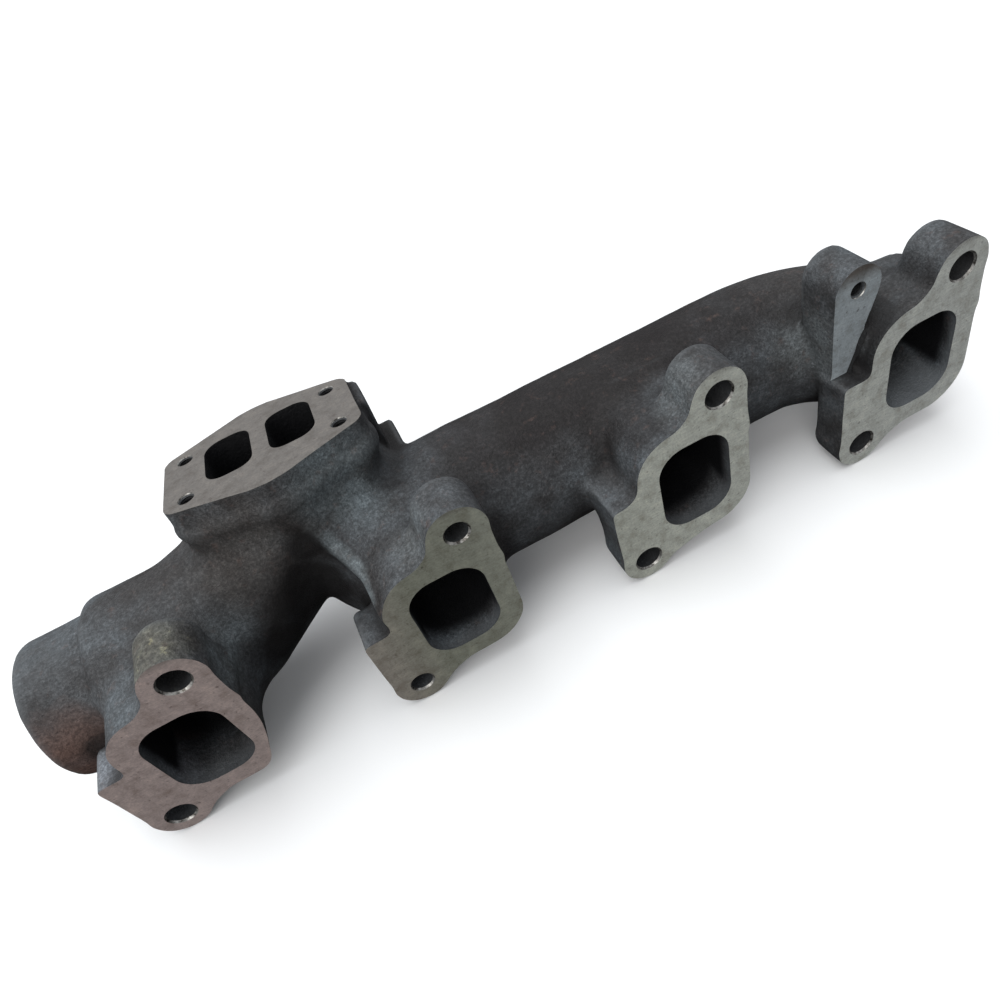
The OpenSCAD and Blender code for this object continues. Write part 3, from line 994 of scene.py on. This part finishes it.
def drill_profile(r, depth, chamfer):
    """A plain hole with a chamfer, as distances into the iron and radii; row 1 is the chamfer."""
    return [(-9, r + chamfer), (0, r + chamfer), (chamfer, r), (depth, r)]


def tap_profile(r, depth):
    """A threaded hole, as rings one pitch apart; row 1 is its chamfer."""
    crest = r + 0.55
    t = 0.5
    profile = [(-7, crest + 0.3), (0, crest + 0.3), (t, crest)]
    while t + THREAD_PITCH < depth - 2:
        profile += [(t + THREAD_PITCH / 2, r), (t + THREAD_PITCH, crest)]
        t += THREAD_PITCH
    return profile + [(depth - 1.5, r), (depth, 0.4)]


def bolt_holes():
    """Each clearance hole for a bolt: its port, mouth, direction, radius and length."""
    for i in PORTS:
        for side, length in ((1, BOSS_DEPTH[i]), (-1, LUG_DEPTH[i])):
            mouth = np.array([PAIR_X[i] + side * HOLE_DX, 0, side * HOLE_DZ])
            yield i, mouth, BACK, HOLE_R[i], length


def tapped_holes():
    """Each threaded hole: its name, mouth, direction, radius and length."""
    for k in STUDS:
        place = mount_mm(f"turbo_stud_{k}")
        mouth = place - ((place - TURBO) @ TURBO_N) * TURBO_N
        yield f"stud_hole_{k}", mouth, -TURBO_N, mounts[f"turbo_stud_{k}"]["dims"]["r_mm"], 14
    mouth = np.array([BRACKET[0], BRACKET_FACE, BRACKET[2]])
    yield "bracket_hole", mouth, BACK, mounts["bracket_tap"]["dims"]["r_mm"], 20


def bracket_plane():
    """Cuts the bracket boss's face, from the lug's top up; its back cap is machined."""
    turn = [math.radians(a) for a in range(0, 181, 12)]
    r = BRACKET_R + 2
    outline = [(BRACKET[0] + r * math.cos(a), BRACKET[2] + r * math.sin(a)) for a in turn]
    outline += [(BRACKET[0] - BRACKET_R - 1, LUG_TOP + 0.4), (BRACKET[0] - 3, LUG_TOP + 0.4)]
    slots = [SEAM, MACHINED] + [SEAM] * len(outline)
    return carve(solid("bracket_plane", outline, 0.5, BRACKET_FACE, slots), ring(4, 60, 2.0))


def cutters():
    """What is cut from the casting to make its machined faces and its holes."""
    far = 60
    yield block("gasket_plane", (FIELD_LOW[0] - far, -far, FIELD_LOW[2] - far),
                (FIELD_HIGH[0] + far, 0, FIELD_HIGH[2] + far), MACHINED)
    square = [(-far, -far), (far, -far), (far, far), (-far, far)]
    yield solid("turbo_plane", square, 0, far, MACHINED, turbo_place)
    for i, mouth, way, r, _ in bolt_holes():
        yield lathe(f"bolt_hole_{i}", drill_profile(r, 40, 0.9), mouth, way, chamfer_row=1)
    yield bracket_plane()
    for name, mouth, way, r, length in tapped_holes():
        yield lathe(name, tap_profile(r, length), mouth, way, 32, 1)
    bore = drill_profile(SOCKET_BORE_R, SOCKET_X1 - SOCKET_X0, 1.6)
    yield lathe("slip_bore", bore, (SOCKET_X0, LOG_Y, LOG_Z), (1, 0, 0), 96)


# ---- the CAD nodes' shares of the casting ----


def ring(i, depth, grow=0.0):
    """The outline of a port flange, grown sideways, as a solid that reaches back to depth."""
    w, h, r = RING_W / 2 - RING_CORNER, RING_H / 2 - RING_CORNER, RING_CORNER + grow
    points = []
    for cx, cz, start in ((w, h, 0), (-w, h, 90), (-w, -h, 180), (w, -h, 270)):
        for a in np.radians(np.linspace(start, start + 90, 9)):
            points.append((PORT[i][0] + cx + r * math.cos(a), PORT_Z + cz + r * math.sin(a)))
    return solid("ring", points, -9, depth, SEAM)


def log_core(x0, x1):
    """The log from x0 to x1, a little slim."""
    r = LOG_R_WIDE - 0.4
    return lathe("core", [(0, r), (x1 - x0, r)], (x0, LOG_Y, LOG_Z), (1, 0, 0))


def port_regions(i):
    """Regions of the boss, lug, flange and runner at one port, in the order they are taken."""
    upper, lower = PAIR_X[i] + HOLE_DX, PAIR_X[i] - HOLE_DX
    x, _, z = PORT[i]
    right = x + 38
    boss = block("boss", (upper - 28, -9, 4.3), (right, BOSS_DEPTH[i] + 2.2, 59), SEAM)
    yield f"upper_boss_{i}", carve(boss, ring(i, 40))
    lug = block("lug", (lower - 17, -9, FIELD_LOW[2] - 5),
                (lower + 32, LUG_DEPTH[i] + 2.2, LUG_TOP + 2), SEAM)
    yield f"lower_lug_{i}", carve(lug, ring(i, 40))
    flange = block("flange", (x - 40, -9, z - 46), (right, FLANGE_T, z + 46), SEAM)
    yield f"port_flange_{i}", flange
    if i == 4:
        left = x - RING_W / 2 - 0.6
        runner = block("runner", (left, 10, z - 46), (right + 9, LOG_Y - 27, z + 46), SEAM)
    else:
        runner = block("runner", (x - 44, 10, z - 50), (x + 44, LOG_Y - 12, z + 50), SEAM)
        runner = carve(runner, log_core(x - 80, x + 80))
    yield f"runner_{i}", runner


def turbo_regions():
    """Regions of the turbocharger flange, of the stalk under it and of its side pad."""
    for name, hx, hv, w0, w1 in (("turbo_flange", TURBO_HX + 1.5, 50, -TURBO_T, 40),
                                 ("turbo_riser", 46, 40, -40, -TURBO_T + 1)):
        outline = [(-hx, -hv), (hx, -hv), (hx, hv), (-hx, hv)]
        yield name, solid(name, outline, w0, w1, SEAM, turbo_place)
    pad = block("pad", PAD_LOW - (0, 3, 2), PAD_HIGH + (6, 6, 6), SEAM)
    x0 = PAD_LOW[0] - 20
    yield "side_pad", carve(pad, log_core(x0, x0 + 80))


def bracket_region():
    low = (BRACKET[0] - 14, 2, LUG_TOP)
    high = (BRACKET[0] + 14, BRACKET_REAR + 2, BRACKET[2] + 16)
    return carve(block("bracket", low, high, SEAM), ring(4, 60))


def slab(x):
    """Everything up to x."""
    return block("slab", FIELD_LOW - 20, (x, FIELD_HIGH[1] + 20, FIELD_HIGH[2] + 20), SEAM)


def take(rest, region):
    """Divides rest along region: returns the piece inside it and leaves the remainder in rest."""
    piece = boolean(rest, region, "INTERSECT")
    carve(rest, region)
    return piece


def divide_casting(whole):
    """Divides the casting at the CAD nodes' boundaries; returns each node's mesh by its name."""
    pieces = {name: take(whole, region) for name, region in turbo_regions()}
    groups = [(1, WEB_X0, {"slip_socket": SOCKET_X1, "front_barrel": BARREL_X1}, "left_elbow"),
              (2, CUT_A, {"divider_web": WEB_X1, "right_elbow": RIGHT_X1}, "log_port_2"),
              (3, CUT_C, {"log_mid_2_3": CUT_B}, "log_port_3"),
              (4, None, {"log_mid_3_4": BEND_X}, "end_bend")]
    for i, end, slabs, last in groups:
        group = whole if end is None else in_scene("group", take(whole, slab(end)))
        if i == 4:
            pieces["bracket_boss"] = take(group, bracket_region())
        for name, region in port_regions(i):
            pieces[name] = take(group, region)
        for name, x in slabs.items():
            pieces[name] = take(group, slab(x))
        pieces[last] = group.data.copy()
        discard(group)
    return pieces


# ---- finishing each piece ----


def edge_wear_and_crease_shade_mark(co, cast, field):
    """Above 0 on outward edges and below 0 in hollows, by how the field bends round a point: it
    gives the paler worn edges and the painted shade in creases.
    """
    along, wide = 2.0, 2.5
    outward = field.at(co + cast * along) + field.at(co - cast * along)
    spread = 0
    for shift in np.eye(3) * wide:
        spread = spread + field.at(co + shift) + field.at(co - shift)
    bend = (spread - 6 * field.at(co)) / 6 - outward / 12
    return np.clip(bend / 0.35, -1, 1)


def occlusion_shade_mark(co, cast, field):
    """1 where other iron stands close in front of a point, 0 where the space is open: the amount of
    painted shade in the hollows.
    """
    near, far = 8, 20
    open_space = field.at(co + near * cast) / near + field.at(co + far * cast) / far
    return np.clip(1 - open_space / 2, 0, 1)


# Where the painted highlight along runner 2's crest lies: 1 on the crest, fading in from 5 to 12 mm
# behind the gasket plane.
def crest_highlight_mark(co):
    along = 1 - smoothstep(ridge_shape(*co.T), -1, 2.6)
    return along * smoothstep(co[:, 1], 5, 12)


def hole_shade_mark(co):
    """1 inside the drilled holes, whose walls are painted dark: painted shade."""
    mark = np.zeros(len(co))
    for _, mouth, way, r, length in (*bolt_holes(), *tapped_holes()):
        depth = (co - mouth) @ way
        away = np.linalg.norm(co - mouth - np.outer(depth, way), axis=1)
        near = (away < r + 0.8) & (depth < length + 0.5)
        mark = np.maximum(mark, near * smoothstep(depth, 0.9, 3.0))
    return mark


def soot_and_port_shading_mark(co, cast, gas):
    """1 deep in the passages and holes: sooty, and darkened further there as painted shade; below 0
    just inside the ports, where the skin is painted paler as painted light.
    """
    port_x = [PORT[i][0] for i in PORTS]
    # How far in, port by port, the darkening starts: soot and painted shade.
    darkens_from = np.interp(co[:, 0], port_x, [34, 15, 17, 46])
    # How strongly the skin just inside each port is painted paler: painted light.
    painted_port_light = np.interp(co[:, 0], port_x, [0.35, 0.40, 0.45, 1.0])
    inner = 1 - smoothstep(np.abs(gas.at(co)), 0.6, 2.2)
    # Walls that do not face up turn dark nearer the mouth: painted shade.
    shade_on_walls_not_facing_up = 1 - smoothstep(cast[:, 2], 0.1, 0.7)
    deep = smoothstep(co[:, 1], 3, darkens_from)
    deep = np.maximum(deep, shade_on_walls_not_facing_up * smoothstep(co[:, 1], 1, 9))
    deep = np.where(co[:, 2] < TURBO[2] - 30, deep, 1) * inner
    drilled = hole_shade_mark(co)
    return np.where(drilled > 0, drilled, deep - painted_port_light * inner * (1 - deep))


def finish_piece(name, mesh, field, gas):
    """Shading that runs on across the seams, marks for the material, and the CAD node's place."""
    mesh.name = name
    mesh.polygons.foreach_set("use_smooth", np.ones(len(mesh.polygons), bool))
    mesh.set_sharp_from_angle(angle=math.radians(35))
    co = read(mesh, "vertices", "co", 3).astype(float) / MM
    cast = field.normals(co)
    slots = read(mesh, "polygons", "material_index", 1, np.int32)
    order = np.argsort(read(mesh, "polygons", "loop_start", 1, np.int32))
    totals = read(mesh, "polygons", "loop_total", 1, np.int32)
    on_cast = np.repeat(slots[order], totals[order]) == CAST
    vertex = read(mesh, "loops", "vertex_index", 1, np.int32)
    plain = read(mesh, "corner_normals", "vector", 3)
    normals = np.where(on_cast[:, None], cast[vertex], plain)
    mesh.normals_split_custom_set(normals.astype(np.float32))
    # Marks for the material: a painted highlight along the crest, worn edges and painted crease
    # shade, painted shade in hollows, and soot with painted shade and light in the ports and holes.
    for mark, values in (("crest", crest_highlight_mark(co)), ("edge", edge_wear_and_crease_shade_mark(co, cast, field)),
                         ("valley", occlusion_shade_mark(co, cast, field)),
                         ("soot", soot_and_port_shading_mark(co, cast, gas))):
        layer = mesh.attributes.new(mark, "FLOAT", "POINT")
        layer.data.foreach_set("value", values.astype(np.float32))
    mesh.materials.clear()
    for material in MATERIALS:
        mesh.materials.append(material)
    mesh.polygons.foreach_set("material_index", np.where(slots == SEAM, CAST, slots))
    obj = in_scene("cast_" + name, mesh)
    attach(obj, "root")
    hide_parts(name)


def build():
    field, gas = casting_field()
    whole = whole_casting(*surface_net(field))
    for cutter in cutters():
        carve(whole, cutter)
    for name, mesh in divide_casting(whole).items():
        finish_piece(name, mesh, field, gas)


build()

# ---- floor, light and camera ----


def add_floor():
    """The floor takes the shadow, and throws little light up at the undersides."""
    n = Nodes("studio_floor")
    n.set("Base Color", (0.90, 0.90, 0.90))
    n.set("Roughness", 0.9)
    low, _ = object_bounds()
    reach, gap = 6.0, 0.0005
    mesh = bpy.data.meshes.new("floor")
    corners = [(-reach, -reach, 0), (reach, -reach, 0), (reach, reach, 0), (-reach, reach, 0)]
    mesh.from_pydata(corners, [], [(0, 1, 2, 3)])
    mesh.materials.append(n.material)
    floor = in_scene("floor", mesh)
    floor.location.z = low.z - gap
    floor.visible_diffuse = False
    floor.visible_glossy = False


def add_sun(name, towards_light, strength, spread_deg, color):
    """Soft light that is even over the whole floor; towards_light points from the part to it."""
    data = bpy.data.lights.new(name, "SUN")
    data.energy = strength
    data.angle = math.radians(spread_deg)
    data.color = color
    light = in_scene(name, data)
    light.rotation_euler = Vector(towards_light).to_track_quat("Z", "Y").to_euler()


def add_studio():
    """Pale surroundings above, dim below, and two soft lights."""
    world = bpy.data.worlds.new("studio")
    bpy.context.scene.world = world
    world.use_nodes = True
    tree = world.node_tree
    place = tree.nodes.new("ShaderNodeTexCoord")
    split = tree.nodes.new("ShaderNodeSeparateXYZ")
    height = tree.nodes.new("ShaderNodeMapRange")
    tree.links.new(place.outputs["Generated"], split.inputs["Vector"])
    tree.links.new(split.outputs["Z"], height.inputs["Value"])
    for name, value in (("From Min", -0.20), ("From Max", -0.08), ("To Min", 0.02),
                        ("To Max", 0.55)):
        height.inputs[name].default_value = value
    background = tree.nodes["Background"]
    background.inputs["Color"].default_value = (0.95, 0.97, 1.0, 1)
    tree.links.new(height.outputs["Result"], background.inputs["Strength"])
    add_sun("overhead", (-0.20, 0.25, 1.0), 2.3, 65, (0.96, 0.985, 1.0))
    add_sun("front", (-0.75, -0.90, 0.85), 1.0, 45, (1.0, 0.99, 0.97))
    bpy.context.scene.view_settings.view_transform = "Standard"


def add_camera():
    """The photo's viewpoint, from the camera's place in metres and its turn in degrees."""
    data = bpy.data.cameras.new("camera")
    data.lens = 27.18
    data.clip_start = 0.01
    camera = in_scene("camera", data)
    camera.location = (0.01618, -0.22014, 0.27404)
    camera.rotation_euler = [math.radians(a) for a in (42.245, 15.323, -23.983)]
    bpy.context.scene.camera = camera


add_floor()
add_studio()
add_camera()
